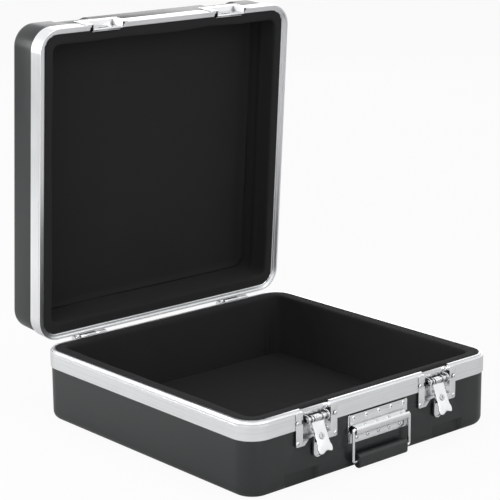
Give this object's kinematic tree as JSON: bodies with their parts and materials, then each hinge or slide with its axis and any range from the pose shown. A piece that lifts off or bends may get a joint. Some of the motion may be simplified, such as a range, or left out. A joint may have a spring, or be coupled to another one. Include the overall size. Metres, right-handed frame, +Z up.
{
  "type": "mixer case",
  "caption": "Open hinged equipment case: square foam-lined plastic tubs with aluminium edge rings, lever latches and a drop handle on the front.",
  "frame": {"origin": "centre of the flat underside of the base, on the surface the case stands on", "axes": "+X along the front to the right as seen from the front, +Y from the front with the latches to the back with the hinges, +Z up"},
  "size_m": [0.5, 0.603, 0.6182],
  "materials": {
    "shell_plastic": "finely textured dark grey moulding",
    "edge_aluminium": "bright anodised extrusion",
    "foam": "black soft foam sheet",
    "plated_steel": "bright nickel plate",
    "lock_zinc": "plated die casting",
    "grip_plastic": "satin black moulding"
  },
  "bodies": {
    "base": {"base_shell": "shell_plastic", "base_ring": "edge_aluminium", "base_lining_walls": "foam", "base_lining_floor": "foam", "latch_plate_rivets": "plated_steel", "handle_back_plate": "plated_steel", "handle_cover": "plated_steel", "handle_rivets": "plated_steel", "hinge_base_rivets": "plated_steel", "latch_left_plate": "plated_steel", "latch_left_pin": "plated_steel", "latch_left_spring": "plated_steel", "latch_right_plate": "plated_steel", "latch_right_pin": "plated_steel", "latch_right_spring": "plated_steel", "hinge_left_base_leaf": "plated_steel", "hinge_left_pin": "plated_steel", "hinge_right_base_leaf": "plated_steel", "hinge_right_pin": "plated_steel"},
    "lid": {"lid_shell": "shell_plastic", "lid_ring": "edge_aluminium", "lid_lining_walls": "foam", "lid_lining_panel": "foam", "keeper_rivets": "plated_steel", "hinge_lid_rivets": "plated_steel", "keeper_left": "plated_steel", "keeper_right": "plated_steel", "hinge_left_lid_leaf": "plated_steel", "hinge_right_lid_leaf": "plated_steel"},
    "handle": {"handle_bail": "plated_steel", "handle_grip": "grip_plastic"},
    "latch_left_lever": {"latch_left_lever": "plated_steel", "latch_left_hasp_pin": "plated_steel"},
    "latch_left_hasp": {"latch_left_hasp": "plated_steel"},
    "latch_left_lock": {"latch_left_lock": "lock_zinc"},
    "latch_right_lever": {"latch_right_lever": "plated_steel", "latch_right_hasp_pin": "plated_steel"},
    "latch_right_hasp": {"latch_right_hasp": "plated_steel"},
    "latch_right_lock": {"latch_right_lock": "lock_zinc"}
  },
  "joints": [
    {"name": "lid_hinge", "type": "hinge", "parent": "base", "child": "lid", "pos_m": [0, 0.2535, 0.113], "axis": [1, 0, 0], "range_deg": [0, 86]},
    {"name": "latch_left_swing", "type": "hinge", "parent": "base", "child": "latch_left_lever", "pos_m": [-0.124, -0.2483, 0.097], "axis": [-1, 0, 0], "range_deg": [0, 110], "stiffness_Nm_per_rad": 0.02},
    {"name": "latch_left_hasp_swing", "type": "hinge", "parent": "latch_left_lever", "child": "latch_left_hasp", "pos_m": [-0.124, -0.25091, 0.08229], "axis": [-1, 0, 0], "range_deg": [0, 20]},
    {"name": "latch_right_swing", "type": "hinge", "parent": "base", "child": "latch_right_lever", "pos_m": [0.124, -0.2483, 0.097], "axis": [-1, 0, 0], "range_deg": [0, 110], "stiffness_Nm_per_rad": 0.02},
    {"name": "latch_right_hasp_swing", "type": "hinge", "parent": "latch_right_lever", "child": "latch_right_hasp", "pos_m": [0.124, -0.25091, 0.08229], "axis": [-1, 0, 0], "range_deg": [0, 20]},
    {"name": "latch_left_key_turn", "type": "hinge", "parent": "latch_left_lever", "child": "latch_left_lock", "pos_m": [-0.124, -0.25928, 0.07233], "axis": [0, -0.9135, 0.4067], "range_deg": [0, 90]},
    {"name": "latch_right_key_turn", "type": "hinge", "parent": "latch_right_lever", "child": "latch_right_lock", "pos_m": [0.124, -0.25928, 0.07233], "axis": [0, -0.9135, 0.4067], "range_deg": [0, 90]},
    {"name": "handle_swing", "type": "hinge", "parent": "base", "child": "handle", "pos_m": [0, -0.256, 0.0632], "axis": [-1, 0, 0], "range_deg": [0, 95]}
  ]
}
